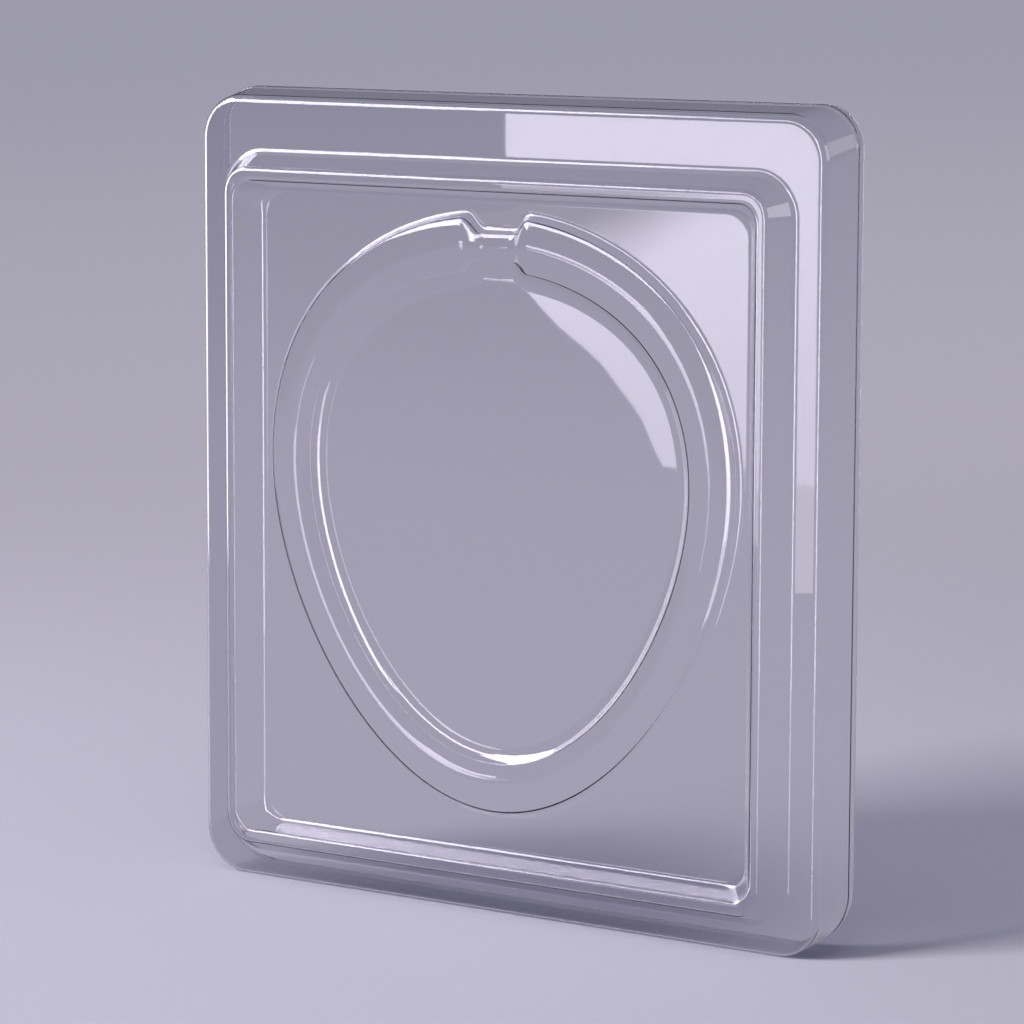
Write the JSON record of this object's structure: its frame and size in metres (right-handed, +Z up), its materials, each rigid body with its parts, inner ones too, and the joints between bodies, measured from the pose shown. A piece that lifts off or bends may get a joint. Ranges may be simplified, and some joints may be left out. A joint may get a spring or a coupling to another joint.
{
  "type": "blister pack",
  "caption": "Clear one-piece formed tray, open at the rear, with a raised frame round a recessed panel and an egg-shaped channel that looks made for a strand.",
  "frame": {"origin": "middle of the flat outer face of the base wall, on the surface that the pack stands on", "axes": "+Z up, -Y the way the front faces, +X to the right as seen from the front; the front leans back 3.5 degrees, turned about X"},
  "size_m": [0.2038, 0.0352, 0.2195],
  "materials": {
    "film": "clear glossy formed film with a faint violet-grey tint"
  },
  "bodies": {
    "root": {"blister_shell": "film"}
  },
  "joints": []
}
